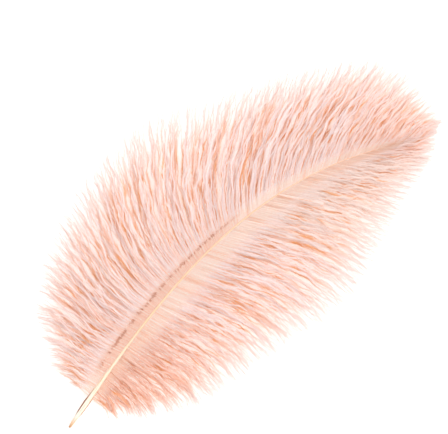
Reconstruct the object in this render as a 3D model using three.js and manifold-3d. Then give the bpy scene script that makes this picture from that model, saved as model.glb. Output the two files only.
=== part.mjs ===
// A blush pink ostrich plume lying on a flat surface. Millimetres, +Z up.
// The shaft runs along +X from the quill to the tip and bows towards +Y and upwards. The wide left
// vane is on its +Y side and the narrower right vane on its -Y side. Each vane is a fan of
// overlapping locks of barbs that leave the shaft, arch over and droop until they touch the surface.
// The origin is on the surface, under the middle of the plume's bounding box.

import * as THREE from "three";
import { mergeVertices } from "three/addons/utils/BufferGeometryUtils.js";
import Module from "manifold-3d";

// Control points of the shaft's centre line, a cubic curve: quill end, lower bow, upper bow, tip.
const QUILL_END = [0, 0, 1.1];
const LOWER_BOW = [94, 28.5, 24];
const UPPER_BOW = [195, 60.5, 28];
const SHAFT_TIP = [290, 8.5, 8];

// Radius of the shaft at shares of its length, and how finely it is faceted.
const SHAFT_RADII = [
  [0, 0.9], [0.03, 1.9], [0.07, 2.25], [0.12, 1.9], [0.2, 1.45], [0.4, 1], [0.6, 0.75], [0.8, 0.5], [1, 0.35],
];
const SHAFT_SIDES = 10;
const SHAFT_STEPS = 26;

// The barbs begin past the bare quill. Nine stations, evenly spaced from there to the shaft's tip,
// say where a vane's locks end and how they run: the tip's x and y, and the angles from the shaft
// at which a lock leaves it and at which it ends.
const BARE_QUILL_SHARE = 0.085;
const LEFT_VANE = {
  side: 1,
  locks: 30,
  stations: [
    [14, 36, 85, 108], [36, 76, 92, 106], [88, 113, 88, 78], [162, 129, 74, 55], [226, 102, 56, 38],
    [272, 84, 54, 36], [309, 62, 50, 37], [323, 34, 44, 28], [308, 3, 9, 3],
  ],
};
const RIGHT_VANE = {
  side: -1,
  locks: 28,
  stations: [
    [27, -10, 90, 112], [76, -34, 75, 100], [118, -37, 70, 94], [158, -38, 62, 86], [198, -36, 54, 76],
    [234, -27, 44, 56], [268, -17, 36, 36], [294, -9, 24, 12], [306, -2, 8, 3],
  ],
};

// A lock is a flattened tongue. Its half width is a share of the spacing of its neighbours, at its
// root and from part of the way along it, and never less than a share of the spacing of the roots.
const LOCK_REACH = 1.03;
const LOCK_ROOT_OVERLAP = 0.9;
const LOCK_TIP_OVERLAP = 0.7;
const LOCK_LEAST_OVERLAP = 0.6;
const LOCK_WIDENS_OVER = 0.6;
const LOCK_HALF_DEPTH = 1.8;

// A lock's line rises above the shaft before it droops, by a share of its reach. The control point
// of its droop is as high as a share of the shaft's height there and a share of that rise.
const LOCK_RISE = 0.12;
const LOCK_DROOP_REACH = 0.42;
const DROOP_OF_SHAFT_HEIGHT = 0.5;
const DROOP_OF_RISE = 0.6;
const LOCK_TIP_HEIGHT = -0.9;
const LOCK_OUTLINE = [[0, 0], [0.02, 0.8], [0.3, 1], [0.62, 0.97], [0.84, 0.74], [0.95, 0.42], [1, 0]];
const LOCK_SIDES = 6;
const SHINGLE_TILT = 14;

// Locks differ a little from one another, as grown ones do: in millimetres of tip position, in
// degrees of leaving angle and as a share of their rise.
const TIP_SPREAD = 2.8;
const ANGLE_SPREAD = 3;
const RISE_SPREAD = 0.25;
const LOCK_TURN = 2.3999;
const TRAIT_TURN = 78.233;
const FIRST_TURN = 0.7;

// Clear space between a vane and the shaft, and between the two vanes past the shaft's tip.
const SHAFT_GAP = 0.35;
const PARTING_HALF_WIDTH = 0.3;
const PARTING_REACH = 60;
const TALLER_THAN_PLUME = 80;
const WIDER_THAN_PLUME = 900;

const wasm = await Module();
wasm.setup();

// A value part of the way along a list of [share, value] stops.
function valueAt(stops, share) {
  const next = stops.findIndex(([place]) => place >= share);
  if (next === -1) return stops.at(-1)[1];
  if (next === 0) return stops[0][1];
  const [from, low] = stops[next - 1];
  const [to, high] = stops[next];
  return THREE.MathUtils.lerp(low, high, (share - from) / (to - from));
}

// A repeatable number from -1 to 1 for one trait of one lock.
function wobble(index, trait) {
  return Math.sin(index * LOCK_TURN + trait * TRAIT_TURN + FIRST_TURN);
}

const shaftLine = new THREE.CubicBezierCurve3(
  ...[QUILL_END, LOWER_BOW, UPPER_BOW, SHAFT_TIP].map((point) => new THREE.Vector3(...point)),
);

// Place, direction, heading in plan and radius of the shaft at a share of its length.
function shaftAt(share) {
  const tangent = shaftLine.getTangentAt(share);
  return {
    point: shaftLine.getPointAt(share),
    tangent,
    heading: Math.atan2(tangent.y, tangent.x),
    radius: valueAt(SHAFT_RADII, share),
  };
}

// Moves every vertex of a geometry to where place(vertex) says.
function reshape(geometry, place) {
  const position = geometry.getAttribute("position");
  const vertex = new THREE.Vector3();
  for (let i = 0; i < position.count; i += 1) {
    vertex.fromBufferAttribute(position, i);
    position.setXYZ(i, ...place(vertex).toArray());
  }
  return geometry;
}

// A closed geometry as a solid that can be joined and cut, and back again.
function solidFrom(geometry) {
  geometry.deleteAttribute("normal");
  geometry.deleteAttribute("uv");
  const merged = mergeVertices(geometry, 1e-4);
  return new wasm.Manifold(new wasm.Mesh({
    numProp: 3,
    vertProperties: merged.getAttribute("position").array,
    triVerts: new Uint32Array(merged.index.array),
  }));
}

function geometryFrom(solid) {
  const mesh = solid.getMesh();
  const geometry = new THREE.BufferGeometry();
  geometry.setAttribute("position", new THREE.BufferAttribute(mesh.vertProperties, 3));
  geometry.setIndex(new THREE.BufferAttribute(mesh.triVerts, 1));
  geometry.computeVertexNormals();
  return geometry;
}

// The sideways and upward directions across a line that runs along a tangent.
function across(tangent) {
  const sideways = new THREE.Vector3(-tangent.y, tangent.x, 0).normalize();
  return { sideways, up: new THREE.Vector3().crossVectors(tangent, sideways).normalize() };
}

// The shaft, grown by a margin all over: a round tapering rod, narrower again at its cut end.
function shaftGeometry(margin) {
  const rod = new THREE.CylinderGeometry(1, 1, 1, SHAFT_SIDES, SHAFT_STEPS);
  return reshape(rod, (vertex) => {
    const { point, tangent, radius } = shaftAt(THREE.MathUtils.clamp(0.5 + vertex.y, 0, 1));
    const { sideways, up } = across(tangent);
    const size = radius + margin;
    const beyondEnd = Math.abs(vertex.y) === 0.5 ? Math.sign(vertex.y) * margin : 0;
    return point
      .addScaledVector(tangent, beyondEnd)
      .addScaledVector(sideways, -vertex.x * size)
      .addScaledVector(up, vertex.z * size);
  });
}

// The numbers of a vane's stations, smoothly filled in at a share of the way from the lowest
// barbs to the shaft's tip.
function stationAt(vane, share) {
  const tips = new THREE.SplineCurve(vane.stations.map(([x, y]) => new THREE.Vector2(x, y)));
  const last = vane.stations.length - 1;
  const angle = (column) => valueAt(vane.stations.map((station, i) => [i / last, station[column]]), share);
  return { tip: tips.getPoint(share), leaves: angle(2), ends: angle(3) };
}

// The centre line of a lock, its half widths at the shaft and further out, and the roll at its
// root that lays it along the shaft's slope.
function lockPlan(vane, index) {
  const last = vane.locks - 1;
  const share = index / last;
  const root = shaftAt(THREE.MathUtils.lerp(BARE_QUILL_SHARE, 1, share));
  const { tip, leaves, ends } = stationAt(vane, share);
  const neighbours = [Math.max(0, share - 0.5 / last), Math.min(1, share + 0.5 / last)];
  const spacing = stationAt(vane, neighbours[0]).tip.distanceTo(stationAt(vane, neighbours[1]).tip);
  const ease = Math.sin(Math.PI * share);
  const toAngle = (degrees) => root.heading + vane.side * THREE.MathUtils.degToRad(degrees);
  const leaving = toAngle(leaves + ANGLE_SPREAD * ease * wobble(index, 1));
  const ending = toAngle(ends + ANGLE_SPREAD * ease * wobble(index, 2));
  const start = root.point;
  const end = new THREE.Vector3(
    THREE.MathUtils.lerp(start.x, tip.x, LOCK_REACH),
    THREE.MathUtils.lerp(start.y, tip.y, LOCK_REACH),
    LOCK_TIP_HEIGHT,
  );
  end.x += TIP_SPREAD * ease * wobble(index, 3) * Math.cos(ending);
  end.y += TIP_SPREAD * ease * wobble(index, 3) * Math.sin(ending);
  const reach = Math.hypot(end.x - start.x, end.y - start.y);
  const rise = LOCK_RISE * reach * (1 + RISE_SPREAD * wobble(index, 4));
  const handle = reach * LOCK_DROOP_REACH;
  const droopHeight = start.z * DROOP_OF_SHAFT_HEIGHT + rise * DROOP_OF_RISE;
  const line = new THREE.CubicBezierCurve3(
    start,
    new THREE.Vector3(start.x + handle * Math.cos(leaving), start.y + handle * Math.sin(leaving), start.z + rise),
    new THREE.Vector3(end.x - handle * Math.cos(ending), end.y - handle * Math.sin(ending), droopHeight),
    end,
  );
  const rootSpacing = (shaftLine.getLength() * (1 - BARE_QUILL_SHARE)) / last;
  const shaftSlope = root.tangent.z / Math.hypot(root.tangent.x, root.tangent.y);
  return {
    line,
    rootRoll: Math.atan(shaftSlope * Math.sin(root.heading - leaving)),
    rootHalfWidth: rootSpacing * LOCK_ROOT_OVERLAP,
    tipHalfWidth: Math.max(spacing * LOCK_TIP_OVERLAP, rootSpacing * LOCK_LEAST_OVERLAP),
  };
}

// One lock of barbs: a flattened tongue along its centre line, blunt at the shaft and pointed at
// its tip, tilted so that one edge tucks under the next lock like a shingle.
function lockGeometry(vane, index) {
  const { line, rootRoll, rootHalfWidth, tipHalfWidth } = lockPlan(vane, index);
  const profile = LOCK_OUTLINE.map(([share, fullness]) => new THREE.Vector2(fullness, share));
  const tongue = new THREE.LatheGeometry(profile, LOCK_SIDES);
  const tilt = THREE.MathUtils.degToRad(SHINGLE_TILT) * vane.side;
  return reshape(tongue, (vertex) => {
    const share = THREE.MathUtils.clamp(vertex.y, 0, 1);
    const widening = THREE.MathUtils.smoothstep(share, 0, LOCK_WIDENS_OVER);
    const halfWidth = THREE.MathUtils.lerp(rootHalfWidth, tipHalfWidth, widening);
    const tangent = line.getTangent(share);
    const { sideways, up } = across(tangent);
    sideways.applyAxisAngle(tangent, rootRoll * (1 - share) + tilt * Math.sin(Math.PI * share));
    return line.getPoint(share)
      .addScaledVector(sideways, -vertex.x * halfWidth)
      .addScaledVector(up, vertex.z * LOCK_HALF_DEPTH);
  });
}

// A thin upright wall along the shaft and on past its tip, which keeps the two vanes apart.
function partingWall() {
  const stations = Array.from({ length: SHAFT_STEPS + 1 }, (_, i) => shaftAt(i / SHAFT_STEPS));
  const beyond = ({ point, tangent, heading }, distance) => (
    { point: point.clone().addScaledVector(tangent, distance), heading }
  );
  const line = [beyond(stations[0], -PARTING_REACH), ...stations, beyond(stations.at(-1), PARTING_REACH)];
  const edge = (side) => line.map(({ point, heading }) => new THREE.Vector2(
    point.x - side * PARTING_HALF_WIDTH * Math.sin(heading),
    point.y + side * PARTING_HALF_WIDTH * Math.cos(heading),
  ));
  const outline = new THREE.Shape([...edge(-1), ...edge(1).reverse()]);
  const wall = new THREE.ExtrudeGeometry(outline, { depth: TALLER_THAN_PLUME, bevelEnabled: false });
  return wall.translate(0, 0, -TALLER_THAN_PLUME / 4);
}

// The space above the surface: what would press into the surface is cut off flat there.
function spaceAboveSurface() {
  const space = new THREE.BoxGeometry(WIDER_THAN_PLUME, WIDER_THAN_PLUME, TALLER_THAN_PLUME);
  return space.translate(0, 0, TALLER_THAN_PLUME / 2);
}

// One vane: its locks joined, cut off flat at the surface and kept clear of the shaft. Slivers
// that the cuts leave on the shaft's far side are dropped.
function vaneGeometry(vane) {
  const locks = Array.from({ length: vane.locks }, (_, i) => solidFrom(lockGeometry(vane, i)));
  const joined = locks.reduce((sum, lock) => sum.add(lock));
  const trimmed = joined
    .intersect(solidFrom(spaceAboveSurface()))
    .subtract(solidFrom(shaftGeometry(SHAFT_GAP)))
    .subtract(solidFrom(partingWall()));
  const pieces = trimmed.decompose().sort((a, b) => b.volume() - a.volume());
  return geometryFrom(pieces[0]);
}

const horn = new THREE.MeshStandardMaterial({ color: 0xf3d9b4, roughness: 0.35, metalness: 0 });
const blushBarbs = new THREE.MeshStandardMaterial({ color: 0xf7d3c2, roughness: 0.95, metalness: 0 });

const shaft = new THREE.Mesh(shaftGeometry(0), horn);
shaft.name = "shaft";
const leftVane = new THREE.Mesh(vaneGeometry(LEFT_VANE), blushBarbs);
leftVane.name = "left_vane";
const rightVane = new THREE.Mesh(vaneGeometry(RIGHT_VANE), blushBarbs);
rightVane.name = "right_vane";

const plume = new THREE.Group();
plume.add(shaft, leftVane, rightVane);

// The shaft was drawn from the quill's end, so the plume is now moved over the origin.
const middle = new THREE.Box3().setFromObject(plume, true).getCenter(new THREE.Vector3());
plume.position.set(-middle.x, -middle.y, 0);

export default plume;
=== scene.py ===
"""A blush pink ostrich plume lying bowed side up on a white table, seen from straight above.

The shaft is swept along the feather's centre line. Each vane is a few hundred barbs, whose lines are
worked out here, and Geometry Nodes grow the ribs and the soft barbules along them.
"""
import bisect
import math
import random

import bpy
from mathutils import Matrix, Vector


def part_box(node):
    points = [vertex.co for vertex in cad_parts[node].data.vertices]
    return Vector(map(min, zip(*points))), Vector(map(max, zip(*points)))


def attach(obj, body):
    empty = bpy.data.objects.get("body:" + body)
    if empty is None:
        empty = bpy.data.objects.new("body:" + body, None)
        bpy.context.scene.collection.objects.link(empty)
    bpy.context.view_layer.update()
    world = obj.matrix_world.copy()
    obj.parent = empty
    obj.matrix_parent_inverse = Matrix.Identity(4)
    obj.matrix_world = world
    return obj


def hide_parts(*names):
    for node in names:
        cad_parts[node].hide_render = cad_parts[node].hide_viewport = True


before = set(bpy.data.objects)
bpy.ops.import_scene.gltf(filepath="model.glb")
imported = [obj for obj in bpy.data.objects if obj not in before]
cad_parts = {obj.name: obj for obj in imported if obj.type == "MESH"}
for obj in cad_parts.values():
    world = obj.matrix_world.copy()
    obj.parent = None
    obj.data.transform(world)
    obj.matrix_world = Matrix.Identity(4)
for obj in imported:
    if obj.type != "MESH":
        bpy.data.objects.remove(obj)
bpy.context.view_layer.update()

MM = 0.001

# The feather's layout, in millimetres from the quill's end, with +X to the tip and +Y to the left
# vane: control points of the shaft's centre line, and its radius at shares of its length. The lowest
# barbs grow where the bare quill ends.
SHAFT_LINE = [Vector((0, 0, 1.1)), Vector((94, 28.5, 24)), Vector((195, 60.5, 28)), Vector((290, 8.5, 8))]
SHAFT_RADII = [(0, 0.75), (0.015, 1.3), (0.04, 1.9), (0.07, 2.15), (0.09, 1.85), (0.13, 1.3), (0.22, 0.9),
               (0.35, 0.72), (0.6, 0.55), (0.8, 0.36), (1, 0.14)]
QUILL_END_RADIUS = 0.9
BARE_QUILL_SHARE = 0.085

# The shaft's mesh. Its rings crowd towards the quill, it is a little flatter than round, and a groove
# runs along its underside: its depth as a share of the radius, its half width in radians.
SHAFT_RINGS = 170
SHAFT_SIDES = 20
RING_CROWDING = 1.25
SHAFT_FLATNESS = 0.92
GROOVE_DEPTH = 0.3
GROOVE_HALF_WIDTH = 0.45

# Nine stations from the lowest barbs to the shaft's tip: where a vane's barbs end, x and y, and the
# angles from the shaft at which they leave it and at which they end.
LEFT_STATIONS = [
    (13, 36, 94, 122), (34, 78, 103, 108), (87, 115, 100, 76), (160, 131, 84, 52), (224, 107, 64, 37),
    (273, 87, 54, 36), (308, 65, 50, 37), (319, 36, 44, 28), (317, 4, 10, 2),
]
RIGHT_STATIONS = [
    (25, -16, 98, 124), (66, -39, 90, 113), (112, -45, 80, 103), (158, -49, 68, 92), (202, -48.5, 58, 80),
    (239, -34, 47, 60), (270, -19, 38, 40), (299, -9, 26, 18), (314, 6, 4, 2),
]

# Each vane's barbs lie in two layers. The upper ones lean together in ones to threes, a clump for
# every pale strand. The under barbs are looser, painted a deeper peach as the shade they lie in, and close
# the gaps from below.
# A clump's barbs share their sway, in degrees, what they lack in length, and most of their tint.
UPPER_BARBS = 250
UNDER_BARBS = 240
UNDER_DROP = 3.0
UNDER_FULLNESS = 0.7
CLUMP_SIZES = (1, 1, 2, 2, 3)
CLUMP_PULL = 0.5
CLUMP_SWAY = 6
CLUMP_SHORTFALL = 0.03
CLUMP_TINT = 0.6

# A barb's line is a cubic curve: how high its handles stand, in shares of its reach, how long they
# are, and where its tip is. Barbs in a higher layer rise more.
POINTS_PER_BARB = 38
BARB_REACH = 1.03
BARB_RISE = 0.12
LAYER_RISE = 0.18
BARB_HANDLE = 0.42
ARRIVAL_FROM_SHAFT = 0.5
ARRIVAL_FROM_RISE = 0.6
BARB_TIP_HEIGHT = 1.2
TIP_HEIGHT_RANGE = 1.5
LOWEST_BARB = 0.4

# How far single barbs stray from that: where they root, in spaces between barbs, where they end, in
# shares of the vane, at which angles they leave and end, in degrees, and how long and high they are.
ROOT_STRAY = 0.3
TIP_STRAY = 0.005
LEAVING_STRAY = 1.2
ENDING_STRAY = 4
REACH_STRAY = 0.045
LAYER_STRAY = 0.35
BAND_STRAY = 0.04

# The lowest fifth of a vane frays: its barbs leave their clumps, and the lowest of them end short.
FRAYED_SHARE = 0.2
FRAYED_PULL_LOSS = 0.8
FRAYED_TIP_STRAY = 0.006
STUBBY_SHARE = 0.09
STUBBY_LOSS = 0.5

# Beyond the smooth band a barb waves sideways, bobs up and down, and is crimped more finely.
LOOSENING = 0.25
WAVE_HEIGHT = 0.8
LOWEST_WAVE = 0.6
WAVE_LENGTH = 27
WAVE_VARIETY = 0.15
PHASE_STRAY = 0.5
CRIMP_HEIGHT = 0.3
CRIMP_LENGTH = 14
BOB_HEIGHT = 0.8
BOB_PACE = 0.8
BOB_PHASE = 1.7
LAYER_DEPTH = 1.44

# The barbules that make the fluff: short and flat beside the shaft, long and loose further out. In
# the smooth band they are a third as long, and towards a barb's tip they shorten again.
RIB_RADIUS = 0.16
RIB_TIP = 0.3
BARBULE_SPACING = 0.36
BARBULE_LENGTH = 4.6
BARBULE_WIDTH = 0.2
BAND_BARBULE = 0.36
TIP_BARBULE = 0.3

# The smooth band's width beside the shaft, at shares of each vane.
LEFT_BAND = [(0, 5.5), (0.12, 7.8), (0.3, 7.2), (0.5, 6), (1, 4)]
RIGHT_BAND = [(0, 3.5), (0.12, 5), (0.3, 10.5), (0.6, 11.5), (1, 6)]

# How far the barbules stand out from their rib, in radians, how much further at a barb's tip, and how
# they sag. The ribbon that they make rolls to and fro by up to 3.6 radians every 33 mm or so.
BAND_SPLAY = 0.75
UPPER_SPLAY = 0.145
UNDER_SPLAY = 0.3
TIP_SPLAY = 1.6
BARBULE_SAG = -0.06
ROLL_LENGTH = 100 / 3
ROLL_RANGE = 3.6

# How high the lowest barbules lie over the table.
TABLE_GAP = 0.2

# Dashes of painted peach shade about 17 mm long where the strands part, and 57 steps of noise from one
# tint to another, so that no barb has the pattern of its neighbour. How warm a vane is at the feather's
# tip, and the left one at its base.
DASH_LENGTH = 50 / 3
TINT_STEPS = 57.0
TIP_WARMTH = 0.42
LEFT_BASE_WARMTH = 0.2

# The horn's streaks: about 0.7 mm wide where the quill's radius is 2.1 mm, and 12 mm long.
STREAKS_PER_RADIUS = 2.1 / 0.7
STREAKS_ALONG = 26.0

# Sockets that share a name, by number: a Mix node's amount, the colour beneath and the colour on top,
# and a Random Value node's least and greatest number.
AMOUNT, BENEATH, ON_TOP = 0, 6, 7
LEAST, MOST = 2, 3

# The photograph's frame: 448 by 434 pixels of 0.65 mm, with the shaft's chord 38.4 degrees above
# the horizontal and the middle of the picture at this place in the layout.
PICTURE_WIDTH = 448 * 0.65
PICTURE_MIDDLE = Vector((165.5, 45.3, 15))
PICTURE_TURN = 38.4
CAMERA_DISTANCE = 1200
SENSOR_WIDTH = 36

# Where the window light comes from, and half the table's width in metres.
WINDOW_SIDE = Vector((0.8, -0.25, 1.0))
TABLE_HALF_WIDTH = 2


def lerp(a, b, t):
    return a + (b - a) * t


def smooth(low, high, value):
    t = min(1.0, max(0.0, (value - low) / (high - low)))
    return t * t * (3 - 2 * t)


def value_at(stops, share):
    """A value part of the way along a list of (share, value) stops."""
    for (low, start), (high, end) in zip(stops, stops[1:]):
        if share <= high:
            return lerp(start, end, max(0.0, (share - low) / (high - low)))
    return stops[-1][1]


def bezier(points, t):
    a, b, c, d = points
    s = 1 - t
    return a * s ** 3 + b * (3 * s * s * t) + c * (3 * s * t * t) + d * t ** 3


def even_points(points, count):
    """Points evenly spaced along a cubic curve, and its length."""
    steps = 400
    fine = [bezier(points, i / steps) for i in range(steps + 1)]
    reached = [0.0]
    for a, b in zip(fine, fine[1:]):
        reached.append(reached[-1] + (b - a).length)
    spaced = []
    place = 0
    for i in range(count):
        wanted = reached[-1] * i / (count - 1)
        while place < steps - 1 and reached[place + 1] < wanted:
            place += 1
        step = reached[place + 1] - reached[place]
        spaced.append(fine[place].lerp(fine[place + 1], (wanted - reached[place]) / step))
    return spaced, reached[-1]


SHAFT_POINTS = even_points(SHAFT_LINE, 401)[0]


def shaft_at(share):
    """Place, direction and plan heading of the shaft at a share of its length."""
    spans = len(SHAFT_POINTS) - 1
    place = min(spans - 0.001, max(0.0, share * spans))
    i = int(place)
    point = SHAFT_POINTS[i].lerp(SHAFT_POINTS[i + 1], place - i)
    tangent = (SHAFT_POINTS[i + 1] - SHAFT_POINTS[i]).normalized()
    return point, tangent, math.atan2(tangent.y, tangent.x)


def layout_origin():
    """Where the layout's zero is in the frame: the CAD shaft's quill end is its lowest corner."""
    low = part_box("shaft")[0]
    _, tangent, _ = shaft_at(0)
    return Vector((
        low[0] / MM + QUILL_END_RADIUS * abs(tangent.y), low[1] / MM + QUILL_END_RADIUS * tangent.x, 0,
    ))


ORIGIN = layout_origin()


def to_frame(point):
    """A point of the layout in metres in the CAD frame."""
    return (point + ORIGIN) * MM


def station_at(stations, share):
    """Where the barbs of a share of the vane end, and their leaving and ending angles."""
    last = len(stations) - 1
    place = min(last - 1e-6, max(0.0, share * last))
    i = int(place)
    t = place - i
    nearby = (Vector(stations[min(last, max(0, k))][:2]) for k in (i - 1, i, i + 1, i + 2))
    before, here, after, beyond = nearby
    tip = 0.5 * (2 * here + (after - before) * t + (2 * before - 5 * here + 4 * after - beyond) * t * t
                 + (3 * here - before - 3 * after + beyond) * t ** 3)
    leaves = lerp(stations[i][2], stations[i + 1][2], t)
    ends = lerp(stations[i][3], stations[i + 1][3], t)
    return tip, leaves, ends


def share_table(stations):
    """Shares of the vane at even progress, which counts its length at the shaft and at its outline."""
    steps = 400
    tips = [station_at(stations, i / steps)[0] for i in range(steps + 1)]
    reached = [0.0]
    for a, b in zip(tips, tips[1:]):
        reached.append(reached[-1] + (b - a).length)
    return [(i / steps + reached[i] / reached[-1]) / 2 for i in range(steps + 1)]


def even_share(table, progress):
    """The share of the vane at a progress from 0 to 1."""
    place = min(len(table) - 2, max(0, bisect.bisect_right(table, progress) - 1))
    part = (progress - table[place]) / (table[place + 1] - table[place])
    return (place + min(1.0, max(0.0, part))) / (len(table) - 1)


def clumps_of(table, count, chance):
    """Splits a row of barbs into clumps, each with traits that its barbs share."""
    clumps = []
    first = 0
    while first < count:
        size = chance.choice(CLUMP_SIZES)
        members = range(first, min(count, first + size))
        clumps.append({
            "members": members,
            "share": even_share(table, (members[0] + members[-1]) / 2 / (count - 1)),
            "phase": chance.uniform(0, 2 * math.pi),
            "sway": chance.uniform(-1, 1),
            "layer": chance.uniform(-1, 1),
            "shortfall": chance.uniform(0, CLUMP_SHORTFALL),
            "tint": chance.random(),
        })
        first += size
    return clumps


def barb_line(stations, side, band_width, share, under, clump, chance):
    """Points along one barb, from the shaft to its tip, in millimetres."""
    start, _, heading = shaft_at(lerp(BARE_QUILL_SHARE, 1, share))
    frayed = 1 - smooth(0.0, FRAYED_SHARE, share)
    pull = CLUMP_PULL * (1 - FRAYED_PULL_LOSS * frayed)
    tip_share = lerp(share, clump["share"], pull) + chance.gauss(0, TIP_STRAY + FRAYED_TIP_STRAY * frayed)
    tip, leaves, ends = station_at(stations, min(1.0, max(0.0, tip_share)))

    # The angles sway less towards the two ends of the vane.
    ease = math.sin(math.pi * min(0.97, max(0.03, share)))
    leaving = heading + side * math.radians(leaves + chance.gauss(0, LEAVING_STRAY))
    ends += CLUMP_SWAY * clump["sway"] * ease
    ending = heading + side * math.radians(ends + chance.gauss(0, ENDING_STRAY) * ease)
    reach_share = BARB_REACH - clump["shortfall"] - abs(chance.gauss(0, REACH_STRAY))
    reach_share -= (1 - smooth(0.0, STUBBY_SHARE, share)) * chance.uniform(0, STUBBY_LOSS)
    flat = Vector((tip.x - start.x, tip.y - start.y, 0)) * reach_share
    tip_height = BARB_TIP_HEIGHT + chance.random() * TIP_HEIGHT_RANGE
    end = Vector((start.x + flat.x, start.y + flat.y, tip_height))
    reach = flat.length
    layer = clump["layer"] + chance.gauss(0, LAYER_STRAY)
    rise = BARB_RISE * reach * (1 + LAYER_RISE * layer)
    arrival = start.z * ARRIVAL_FROM_SHAFT + rise * ARRIVAL_FROM_RISE
    handle = reach * BARB_HANDLE
    points, length = even_points([
        start,
        start + Vector((handle * math.cos(leaving), handle * math.sin(leaving), rise)),
        end + Vector((-handle * math.cos(ending), -handle * math.sin(ending), arrival)),
        end,
    ], POINTS_PER_BARB)

    phase = clump["phase"] + chance.gauss(0, PHASE_STRAY)
    waves = 2 * math.pi * length / (WAVE_LENGTH * (1 + WAVE_VARIETY * clump["sway"]))
    height = WAVE_HEIGHT * lerp(LOWEST_WAVE, 1, chance.random())
    crimp_phase = chance.uniform(0, 2 * math.pi)
    crimps = 2 * math.pi * length / CRIMP_LENGTH
    band_share = band_width / length
    shaped = []
    for i, point in enumerate(points):
        along = i / (POINTS_PER_BARB - 1)
        ahead = points[min(POINTS_PER_BARB - 1, i + 1)] - points[max(0, i - 1)]
        sideways = Vector((-ahead.y, ahead.x, 0)).normalized()
        loose = smooth(band_share, band_share + LOOSENING, along)
        swing = height * loose * math.sin(phase + waves * along)
        swing += CRIMP_HEIGHT * loose * math.sin(crimp_phase + crimps * along)
        bob = math.sin(BOB_PHASE * phase + BOB_PACE * waves * along) * (1 - along)

        # The layers part in the middle of the vane, and are together again just short of the tips.
        lift = LAYER_DEPTH * layer * loose * math.sin(math.pi * min(1, along * 1.05))
        lift += BOB_HEIGHT * height * loose * bob
        lift -= under * UNDER_DROP * math.sin(math.pi * along) ** UNDER_FULLNESS
        shaped.append(point + sideways * swing + Vector((0, 0, lift)))
    return [Vector((p.x, p.y, max(LOWEST_BARB, p.z))) for p in shaped]


def dye_and_shade_traits(side, share):
    """How much a barb has of the painted crease shadow, of the warm dye and of the pale one.

    The left vane's lower half is creased, with dots of painted shadow. Both vanes are warm at the tip and
    at the base, where the left one is only a little warm, and the right one is pale in between.
    """
    base = 1 - smooth(0, 0.4, share)
    if side > 0:
        return {
            "fold": smooth(0.02, 0.1, share) * (1 - smooth(0.42, 0.62, share)),
            "warmth": LEFT_BASE_WARMTH * base + TIP_WARMTH * smooth(0.72, 0.92, share),
            "pale": 0.0,
        }
    return {
        "fold": 0.0,
        "warmth": base + TIP_WARMTH * smooth(0.5, 0.8, share),
        "pale": smooth(0.4, 0.7, share) * (1 - smooth(0.8, 0.96, share)),
    }


def barb_guides(stations, side, bands, seed):
    """The barbs of a vane in order from quill to tip: the share, the line and the traits of each."""
    chance = random.Random(seed)
    table = share_table(stations)
    barbs = []
    for under, count in ((0, UPPER_BARBS), (1, UNDER_BARBS)):
        for clump in clumps_of(table, count, chance):
            for member in clump["members"]:
                place = member + chance.uniform(-ROOT_STRAY, ROOT_STRAY)
                share = even_share(table, place / (count - 1))
                band = value_at(bands, share) * (1 + chance.gauss(0, BAND_STRAY))
                line = barb_line(stations, side, band, share, under, clump, chance)
                tint = CLUMP_TINT * clump["tint"] + (1 - CLUMP_TINT) * chance.random()
                traits = {"tint": tint, "under": under, "band": band * MM, **dye_and_shade_traits(side, share)}
                barbs.append((share, line, traits))
    barbs.sort(key=lambda barb: barb[0])
    return barbs


def placed(name, data):
    """An object in the scene that shows a mesh, a light or a camera."""
    made = bpy.data.objects.new(name, data)
    bpy.context.scene.collection.objects.link(made)
    return made


def mesh_object(name, vertices, faces, edges=(), attributes=None):
    """An object of plain mesh, with a number for each vertex in each of its attributes."""
    mesh = bpy.data.meshes.new(name)
    mesh.from_pydata([tuple(v) for v in vertices], list(edges), list(faces))
    mesh.update()
    for attribute, values in (attributes or {}).items():
        mesh.attributes.new(attribute, "FLOAT", "POINT").data.foreach_set("value", values)
    return placed(name, mesh)


def guide_object(name, barbs):
    """One mesh of open lines, which the node tree grows barbules on."""
    vertices = []
    edges = []
    columns = {trait: [] for trait in barbs[0][2]}
    for _, line, traits in barbs:
        first = len(vertices)
        vertices += [to_frame(point) for point in line]
        edges += [(first + i, first + i + 1) for i in range(len(line) - 1)]
        for trait, value in traits.items():
            columns[trait] += [float(value)] * len(line)
    return mesh_object(name, vertices, [], edges, columns)


def shaft_mesh():
    """The shaft: rings along its line, a groove along its underside, and closed ends."""
    vertices = []
    columns = {"along": [], "leftward": [], "upward": []}
    for i in range(SHAFT_RINGS + 1):
        share = (i / SHAFT_RINGS) ** RING_CROWDING
        point, tangent, _ = shaft_at(share)
        sideways = Vector((-tangent.y, tangent.x, 0)).normalized()
        up = tangent.cross(sideways)
        radius = value_at(SHAFT_RADII, share)
        groove = GROOVE_DEPTH * smooth(0.1, 0.2, share)
        for k in range(SHAFT_SIDES):
            turn = 2 * math.pi * k / SHAFT_SIDES
            dip = groove * math.exp(-((turn - 1.5 * math.pi) / GROOVE_HALF_WIDTH) ** 2)
            size = radius * (1 - dip)
            offset = sideways * math.cos(turn) * size + up * math.sin(turn) * size * SHAFT_FLATNESS
            vertices.append(to_frame(point + offset))
            columns["along"].append(share)
            columns["leftward"].append(math.cos(turn))
            columns["upward"].append(math.sin(turn))
    faces = []
    for i in range(SHAFT_RINGS):
        for k in range(SHAFT_SIDES):
            a = i * SHAFT_SIDES + k
            b = i * SHAFT_SIDES + (k + 1) % SHAFT_SIDES
            faces.append((a, b, b + SHAFT_SIDES, a + SHAFT_SIDES))
    faces.append(tuple(reversed(range(SHAFT_SIDES))))
    faces.append(tuple(range(SHAFT_RINGS * SHAFT_SIDES, (SHAFT_RINGS + 1) * SHAFT_SIDES)))
    made = mesh_object("shaft_horn", vertices, faces, attributes=columns)
    for polygon in made.data.polygons:
        polygon.use_smooth = True
    return made


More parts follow.
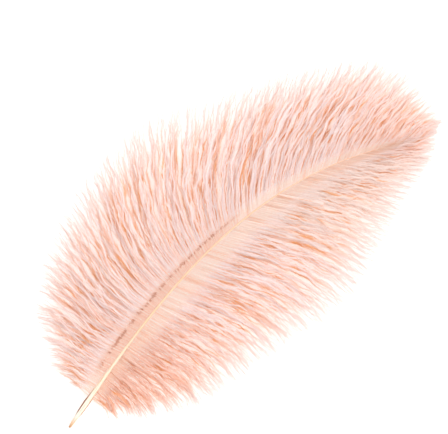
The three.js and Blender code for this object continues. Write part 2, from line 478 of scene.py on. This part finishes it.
def barbule_blade():
    """One barbule, a metre long and wide before it is scaled: a curved strip that ends in a point."""
    vertices = [(0, -0.5, 0), (0, 0.5, 0), (0.5, 0.38, 0.07), (0.5, -0.38, 0.07), (1, 0, 0)]
    faces = [(0, 3, 2, 1), (3, 4, 2)]
    outward = [vertex[0] for vertex in vertices]
    return mesh_object("barbule_blade", vertices, faces, attributes={"outward": outward})


def add(tree, kind, links=None, **settings):
    """Adds a node with its settings, and sets its inputs or links them to sockets or other nodes."""
    made = tree.nodes.new(kind)
    for key, value in settings.items():
        setattr(made, key, value)
    for key, value in (links or {}).items():
        if isinstance(value, bpy.types.Node):
            value = next(socket for socket in value.outputs if socket.enabled)
        if isinstance(value, bpy.types.NodeSocket):
            tree.links.new(value, made.inputs[key])
        else:
            made.inputs[key].default_value = value
    return made


def colour(code):
    """A #rrggbb sRGB colour as linear red, green, blue and alpha."""
    parts = [int(code[i:i + 2], 16) / 255 for i in (1, 3, 5)]
    return tuple(c / 12.92 if c <= 0.04045 else ((c + 0.055) / 1.055) ** 2.4 for c in parts) + (1.0,)


def barb_tree():
    """Grows a rib and two rows of barbules along every line of a mesh."""
    tree = bpy.data.node_groups.new("Barbules along barbs", "GeometryNodeTree")
    for name, kind in (
        ("Barb lines", "NodeSocketGeometry"), ("Barbule", "NodeSocketObject"),
        ("Material", "NodeSocketMaterial"), ("Rib radius", "NodeSocketFloat"),
        ("Barbule spacing", "NodeSocketFloat"), ("Barbule length", "NodeSocketFloat"),
        ("Barbule width", "NodeSocketFloat"), ("Seed", "NodeSocketInt"),
    ):
        tree.interface.new_socket(name, in_out="INPUT", socket_type=kind)
    tree.interface.new_socket("Barbs", in_out="OUTPUT", socket_type="NodeSocketGeometry")
    inputs = add(tree, "NodeGroupInput").outputs

    # How far along its barb each point is: as a share, in metres, and in widths of the smooth band.
    lines = add(tree, "GeometryNodeMeshToCurve", {"Mesh": inputs["Barb lines"]})
    spline = add(tree, "GeometryNodeSplineParameter").outputs
    band = add(tree, "GeometryNodeInputNamedAttribute", {"Name": "band"}, data_type="FLOAT")
    bands = add(tree, "ShaderNodeMath", {0: spline["Length"], 1: band}, operation="DIVIDE")
    for name, value in (("along", spline["Factor"]), ("travelled", spline["Length"]), ("bands", bands)):
        lines = add(tree, "GeometryNodeStoreNamedAttribute", {
            "Geometry": lines, "Name": name, "Value": value,
        }, data_type="FLOAT", domain="POINT")

    # The ribs: thin rods that taper towards their tips.
    radius = add(tree, "ShaderNodeMapRange", {"Value": spline["Factor"], "To Min": 1.0, "To Max": RIB_TIP})
    radius = add(tree, "ShaderNodeMath", {0: radius, 1: inputs["Rib radius"]}, operation="MULTIPLY")
    section = add(tree, "GeometryNodeCurvePrimitiveCircle", {"Resolution": 3, "Radius": 1.0})
    ribs = add(tree, "GeometryNodeCurveToMesh", {
        "Curve": lines, "Profile Curve": section, "Scale": radius, "Fill Caps": True,
    })

    # The barbules' places, the traits of their barb there, and three random numbers for each of them.
    points = add(tree, "GeometryNodeCurveToPoints", {
        "Curve": lines, "Length": inputs["Barbule spacing"],
    }, mode="LENGTH")
    tangent = points.outputs["Tangent"]
    along, travelled, bands, tint, under = (
        add(tree, "GeometryNodeInputNamedAttribute", {"Name": name}, data_type="FLOAT")
        for name in ("along", "travelled", "bands", "tint", "under")
    )
    index = add(tree, "GeometryNodeInputIndex")
    scatter = {}
    for step, use, least, most in (
        (1.0, "roll", -0.55, 0.55), (2.0, "splay", 0.7, 1.3), (3.0, "length", 0.6, 1.2),
    ):
        seed = add(tree, "ShaderNodeMath", {0: inputs["Seed"], 1: step}, operation="ADD")
        scatter[use] = add(tree, "FunctionNodeRandomValue", {
            LEAST: least, MOST: most, "ID": index, "Seed": seed,
        }, data_type="FLOAT")
    beyond_band = add(tree, "ShaderNodeMapRange", {
        "Value": bands, "From Min": 0.8, "From Max": 1.8,
    }, interpolation_type="SMOOTHSTEP")

    # The barb's ribbon of barbules rolls slowly about its rib, differently on each barb, and every
    # second barbule is on the other side of the rib.
    across = add(tree, "ShaderNodeMath", {0: tint, 1: TINT_STEPS}, operation="MULTIPLY")
    onward = add(tree, "ShaderNodeMath", {0: travelled, 1: 1 / (ROLL_LENGTH * MM)}, operation="MULTIPLY")
    place = add(tree, "ShaderNodeCombineXYZ", {"X": across, "Y": onward})
    roll = add(tree, "ShaderNodeTexNoise", {
        "Vector": place, "Scale": 1.0, "Detail": 1.0,
    }, noise_dimensions="2D")
    roll = add(tree, "ShaderNodeMath", {
        0: roll, 1: ROLL_RANGE, 2: -ROLL_RANGE / 2,
    }, operation="MULTIPLY_ADD")
    roll = add(tree, "ShaderNodeMath", {0: roll, 1: scatter["roll"]}, operation="ADD")
    other_side = add(tree, "ShaderNodeMath", {0: index, 1: 2.0}, operation="MODULO")
    other_side = add(tree, "ShaderNodeMath", {0: other_side, 1: math.pi}, operation="MULTIPLY")
    turn = add(tree, "ShaderNodeMath", {0: roll, 1: beyond_band, 2: other_side}, operation="MULTIPLY_ADD")
    level = add(tree, "ShaderNodeVectorMath", {0: tangent, 1: (0, 0, 1)}, operation="CROSS_PRODUCT")
    sideways = add(tree, "ShaderNodeVectorRotate", {"Vector": level, "Axis": tangent, "Angle": turn})

    # They stand well out from the rib in the smooth band, lean along it beyond, and part at its tip.
    loose = add(tree, "ShaderNodeMapRange", {"Value": under, "To Min": UPPER_SPLAY, "To Max": UNDER_SPLAY})
    splay = add(tree, "ShaderNodeMapRange", {"Value": beyond_band, "To Min": BAND_SPLAY, "To Max": loose})
    wisp = add(tree, "ShaderNodeMapRange", {
        "Value": along, "From Min": 0.8, "To Min": 1.0, "To Max": TIP_SPLAY,
    })
    for factor in (wisp, scatter["splay"]):
        splay = add(tree, "ShaderNodeMath", {0: splay, 1: factor}, operation="MULTIPLY")
    facing = add(tree, "ShaderNodeVectorMath", {0: tangent, 1: sideways}, operation="CROSS_PRODUCT")
    pointing = add(tree, "ShaderNodeVectorRotate", {"Vector": tangent, "Axis": facing, "Angle": splay})
    pointing = add(tree, "ShaderNodeVectorMath", {0: pointing, 1: (0, 0, BARBULE_SAG)}, operation="ADD")
    rotation = add(tree, "FunctionNodeAxesToRotation", {
        "Primary Axis": pointing, "Secondary Axis": facing,
    }, primary_axis="X", secondary_axis="Z")
    full = add(tree, "ShaderNodeMath", {
        0: beyond_band, 1: 1 - BAND_BARBULE, 2: BAND_BARBULE,
    }, operation="MULTIPLY_ADD")
    length = add(tree, "ShaderNodeMapRange", {
        "Value": along, "From Min": 0.7, "To Min": 1.0, "To Max": TIP_BARBULE,
    })
    for factor in (full, scatter["length"], inputs["Barbule length"]):
        length = add(tree, "ShaderNodeMath", {0: length, 1: factor}, operation="MULTIPLY")
    size = add(tree, "ShaderNodeCombineXYZ", {"X": length, "Y": inputs["Barbule width"], "Z": length})
    blade = add(tree, "GeometryNodeObjectInfo", {"Object": inputs["Barbule"]}).outputs["Geometry"]
    barbules = add(tree, "GeometryNodeInstanceOnPoints", {
        "Points": points, "Instance": blade, "Rotation": rotation, "Scale": size,
    })

    # Nothing goes through the table that the feather lies on. Its x and y are far above -9 m, so they
    # stay as they are.
    whole = add(tree, "GeometryNodeJoinGeometry", {"Geometry": barbules})
    tree.links.new(ribs.outputs["Mesh"], whole.inputs["Geometry"])
    real = add(tree, "GeometryNodeRealizeInstances", {"Geometry": whole})
    place = add(tree, "GeometryNodeInputPosition")
    place = add(tree, "ShaderNodeVectorMath", {0: place, 1: (-9, -9, TABLE_GAP * MM)}, operation="MAXIMUM")
    resting = add(tree, "GeometryNodeSetPosition", {"Geometry": real, "Position": place})
    done = add(tree, "GeometryNodeSetMaterial", {"Geometry": resting, "Material": inputs["Material"]})
    add(tree, "NodeGroupOutput", {"Barbs": done})
    return tree


def grown(name, guide, tree, **inputs):
    """The plain mesh that a node tree makes of a guide, with the tree's inputs given by name."""
    modifier = guide.modifiers.new("grow", "NODES")
    modifier.node_group = tree
    for item in tree.interface.items_tree:
        if item.item_type == "SOCKET" and item.in_out == "INPUT" and item.name in inputs:
            modifier[item.identifier] = inputs[item.name]
    evaluated = guide.evaluated_get(bpy.context.evaluated_depsgraph_get())
    mesh = bpy.data.meshes.new_from_object(evaluated)
    mesh.name = name
    bpy.data.objects.remove(guide)
    return placed(name, mesh)


def bare_material(name):
    """A material without a node, and its tree."""
    material = bpy.data.materials.new(name)
    material.use_nodes = True
    material.node_tree.nodes.clear()
    return material, material.node_tree


def dyed_barbs():
    """Ostrich barbs, keratin grown as fluff and dyed blush in a bath. It is soft and matt and lets light
    through, so the gaps between the strands glow peach and the tips fade to a pinkish white. The gaps'
    peach is deepened by painted shade on the under barbs, in dashes and at the barbule ends."""
    material, tree = bare_material("dyed_ostrich_barbs")
    read = {
        name: add(tree, "ShaderNodeAttribute", attribute_name=name).outputs["Fac"]
        for name in ("along", "travelled", "bands", "tint", "under", "fold", "warmth", "pale", "outward")
    }

    # Dashes of painted shade where the strands part, one barb wide, on the under barbs.
    across = add(tree, "ShaderNodeMath", {0: read["tint"], 1: TINT_STEPS}, operation="MULTIPLY")
    onward = add(tree, "ShaderNodeMath", {
        0: read["travelled"], 1: 1 / (DASH_LENGTH * MM),
    }, operation="MULTIPLY")
    place = add(tree, "ShaderNodeCombineXYZ", {"X": onward, "Y": across})
    read["dashes"] = add(tree, "ShaderNodeTexNoise", {
        "Vector": place, "Scale": 1.0, "Detail": 0.0,
    }, noise_dimensions="2D")

    # Smooth steps in those measures, each from 0 to its strength.
    share = {}
    for name, source, low, high, strength in (
        ("beyond band", "bands", 0.8, 1.5, 1.0),
        ("deeper barb", "tint", 0.35, 0.15, 1.0),
        ("under layer", "under", 0.0, 1.0, 1.0),
        ("warm", "warmth", 0.0, 1.0, 0.5),
        ("fold", "fold", 0.0, 1.0, 1.0),
        # Painted highlight and shade: each strand stays pale along its rib and turns deeper peach towards
        # its barbules' ends.
        ("painted strand edge", "outward", 0.0, 0.9, 0.52),
        # Where the painted shade of the dashes falls.
        ("dash", "dashes", 0.54, 0.66, 1.0),
        ("short of tip", "along", 0.8, 0.6, 1.0),
        ("tip", "along", 0.62, 0.95, 1.0),
        # The crease: dots of painted shadow at the edge of the left vane's smooth band, where the fluff
        # begins.
        ("crease start", "bands", 0.72, 0.84, 1.0),
        ("crease end", "bands", 1.08, 0.96, 1.0),
        ("shaded barb", "tint", 0.56, 0.42, 1.0),
        ("dark hair", "tint", 0.24, 0.16, 0.75),
        ("near the quill", "warmth", 0.45, 0.9, 1.0),
        ("pale", "pale", 0.0, 1.0, 0.65),
    ):
        share[name] = add(tree, "ShaderNodeMapRange", {
            "Value": read[source], "From Min": low, "From Max": high, "To Max": strength,
        }, interpolation_type="SMOOTHSTEP")
    for name, first, second in (
        ("painted strand edge", "painted strand edge", "beyond band"), ("dash", "dash", "beyond band"),
        ("dash", "dash", "short of tip"), ("dash", "dash", "under layer"),
        ("crease", "crease start", "crease end"), ("crease", "crease", "fold"),
        ("crease", "crease", "shaded barb"), ("dark hair", "dark hair", "near the quill"),
        ("pale", "pale", "beyond band"),
    ):
        share[name] = add(tree, "ShaderNodeMath", {
            0: share[first], 1: share[second],
        }, operation="MULTIPLY")

    # The dyes and the painted shade, one over the other. The first is the smooth band beside the shaft.
    mixed = add(tree, "ShaderNodeMix", {
        AMOUNT: share["deeper barb"], BENEATH: colour("#fff3eb"), ON_TOP: colour("#f8d6c0"),
    }, data_type="RGBA")
    fluff = add(tree, "ShaderNodeMix", {
        AMOUNT: share["deeper barb"], BENEATH: colour("#fffcff"), ON_TOP: colour("#fff0eb"),
    }, data_type="RGBA")
    fluff = add(tree, "ShaderNodeMix", {
        # The under barbs are painted a deeper peach as the shade they lie in.
        AMOUNT: share["under layer"], BENEATH: fluff, ON_TOP: colour("#fbdece"),
    }, data_type="RGBA")
    for where, dye in (
        ("fold", colour("#fadecf")),
        ("beyond band", fluff),
        ("warm", colour("#fbcba8")),
        # Painted shade at the strands' edges, leaving a painted highlight along each rib.
        ("painted strand edge", colour("#fcddd0")),
        ("pale", colour("#fff8f4")),
        # Painted shade: orange dashes in the gaps between the strands.
        ("dash", colour("#f4bb88")),
        # Painted shadow in the crease, in dots on some barbs.
        ("crease", colour("#c9855f")),
        ("dark hair", colour("#d59468")),
        ("tip", colour("#faf0ee")),
    ):
        mixed = add(tree, "ShaderNodeMix", {
            AMOUNT: share[where], BENEATH: mixed, ON_TOP: dye,
        }, data_type="RGBA")
    surface = add(tree, "ShaderNodeBsdfPrincipled", {
        "Base Color": mixed, "Roughness": 0.7, "Specular IOR Level": 0.25,
    })
    passed = add(tree, "ShaderNodeMix", {
        AMOUNT: 0.2, BENEATH: mixed, ON_TOP: colour("#fbc8a2"),
    }, data_type="RGBA")
    through = add(tree, "ShaderNodeBsdfTranslucent", {"Color": passed})
    both = add(tree, "ShaderNodeMixShader", {0: 0.45, 1: surface, 2: through})
    add(tree, "ShaderNodeOutputMaterial", {"Surface": both})
    return material


def shaft_horn():
    """The shaft's keratin, grown as a smooth rod of cream horn. It is a little waxy, so it shows a soft
    highlight, and painted brown shade runs along the bare quill's sides."""
    material, tree = bare_material("cream_feather_horn")
    along, leftward, upward = (
        add(tree, "ShaderNodeAttribute", attribute_name=name).outputs["Fac"]
        for name in ("along", "leftward", "upward")
    )
    ramp = add(tree, "ShaderNodeValToRGB", {"Fac": along})
    stops = ramp.color_ramp.elements
    stops[0].color = colour("#c08352")
    stops[1].color = colour("#f8cfb6")
    for position, code in (
        (0.012, "#e9c6a2"), (0.03, "#fdf3e4"), (0.1, "#fcebd6"), (0.3, "#f5d2b1"), (0.6, "#f5cbae"),
    ):
        stop = stops.new(position)
        stop.color = colour(code)

    # Long streaks in the horn.
    place = []
    for measure, scale in (
        (leftward, STREAKS_PER_RADIUS), (upward, STREAKS_PER_RADIUS), (along, STREAKS_ALONG),
    ):
        place.append(add(tree, "ShaderNodeMath", {0: measure, 1: scale}, operation="MULTIPLY"))
    place = add(tree, "ShaderNodeCombineXYZ", {"X": place[0], "Y": place[1], "Z": place[2]})
    streak = add(tree, "ShaderNodeTexNoise", {"Vector": place, "Scale": 1.0, "Detail": 2.0})
    streak = add(tree, "ShaderNodeMapRange", {
        "Value": streak, "From Min": 0.5, "From Max": 0.7, "To Max": 0.7,
    })
    horn = add(tree, "ShaderNodeMix", {
        AMOUNT: streak, BENEATH: ramp, ON_TOP: colour("#dfa778"),
    }, data_type="RGBA")

    # Painted brown shade along the bare quill's sides, the left side darker than the right, away from the
    # light.
    for low, high, dye in ((0.5, 0.68, "#8a4a22"), (-0.6, -0.8, "#b37b50")):
        quill_side_shade = add(tree, "ShaderNodeMapRange", {"Value": leftward, "From Min": low, "From Max": high})
        for start, end in ((0.028, 0.045), (0.115, 0.075)):
            reach = add(tree, "ShaderNodeMapRange", {"Value": along, "From Min": start, "From Max": end})
            quill_side_shade = add(tree, "ShaderNodeMath", {0: quill_side_shade, 1: reach}, operation="MULTIPLY")
        horn = add(tree, "ShaderNodeMix", {
            AMOUNT: quill_side_shade, BENEATH: horn, ON_TOP: colour(dye),
        }, data_type="RGBA")
    surface = add(tree, "ShaderNodeBsdfPrincipled", {
        "Base Color": horn, "Roughness": 0.38, "Subsurface Weight": 0.2,
        "Subsurface Scale": 0.0015, "Subsurface Radius": (1.0, 0.6, 0.35),
    })
    add(tree, "ShaderNodeOutputMaterial", {"Surface": surface})
    return material


def white_table():
    """A matt white table, lit from within: its light from below keeps the vanes' undersides bright."""
    material, tree = bare_material("white_table")
    surface = add(tree, "ShaderNodeBsdfPrincipled", {
        "Base Color": colour("#f3f3f3"), "Roughness": 0.9,
        "Emission Color": colour("#ffffff"), "Emission Strength": 0.35,
    })
    add(tree, "ShaderNodeOutputMaterial", {"Surface": surface})
    return material


horn = shaft_horn()
barbs = dyed_barbs()

shaft = shaft_mesh()
shaft.data.materials.append(horn)
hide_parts("shaft")
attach(shaft, "root")

tree = barb_tree()
blade = barbule_blade()

# Each vane is three pieces, so that none has too many triangles.
PARTS = ("lower", "middle", "upper")
for node_name, stations, side, bands, seed in (
    ("left_vane", LEFT_STATIONS, 1, LEFT_BAND, 11),
    ("right_vane", RIGHT_STATIONS, -1, RIGHT_BAND, 23),
):
    lines = barb_guides(stations, side, bands, seed)
    for i, part in enumerate(PARTS):
        chosen = lines[len(lines) * i // len(PARTS):len(lines) * (i + 1) // len(PARTS)]
        guide = guide_object(f"{part}_{node_name}_lines", chosen)
        piece = grown(f"{node_name}_{part}_barbs", guide, tree, **{
            "Barbule": blade, "Material": barbs, "Rib radius": RIB_RADIUS * MM,
            "Barbule spacing": BARBULE_SPACING * MM, "Barbule length": BARBULE_LENGTH * MM,
            "Barbule width": BARBULE_WIDTH * MM, "Seed": seed + i,
        })
        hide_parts(node_name)
        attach(piece, "root")
bpy.data.objects.remove(blade)

# The table, the light and the camera.
corners = ((-1, -1), (1, -1), (1, 1), (-1, 1))
corners = [(x * TABLE_HALF_WIDTH, y * TABLE_HALF_WIDTH, 0) for x, y in corners]
table = mesh_object("table", corners, [(0, 1, 2, 3)])
table.data.materials.append(white_table())

world = bpy.data.worlds.new("studio")
world.use_nodes = True
sky = world.node_tree.nodes["Background"].inputs
sky["Color"].default_value = colour("#ffffff")
sky["Strength"].default_value = 0.92
bpy.context.scene.world = world

window = bpy.data.lights.new("window_light", "SUN")
window.energy = 1.62
window.angle = math.radians(25)
window_light = placed("window_light", window)
window_light.rotation_euler = WINDOW_SIDE.to_track_quat("Z", "Y").to_euler()

camera_data = bpy.data.cameras.new("camera")
camera_data.sensor_width = SENSOR_WIDTH
camera_data.lens = SENSOR_WIDTH * CAMERA_DISTANCE / PICTURE_WIDTH
camera_data.clip_end = 20
camera = placed("camera", camera_data)
camera.location = to_frame(PICTURE_MIDDLE + Vector((0, 0, CAMERA_DISTANCE)))
camera.rotation_euler = (0, 0, -math.radians(PICTURE_TURN))
bpy.context.scene.camera = camera
bpy.context.scene.view_settings.view_transform = "Standard"
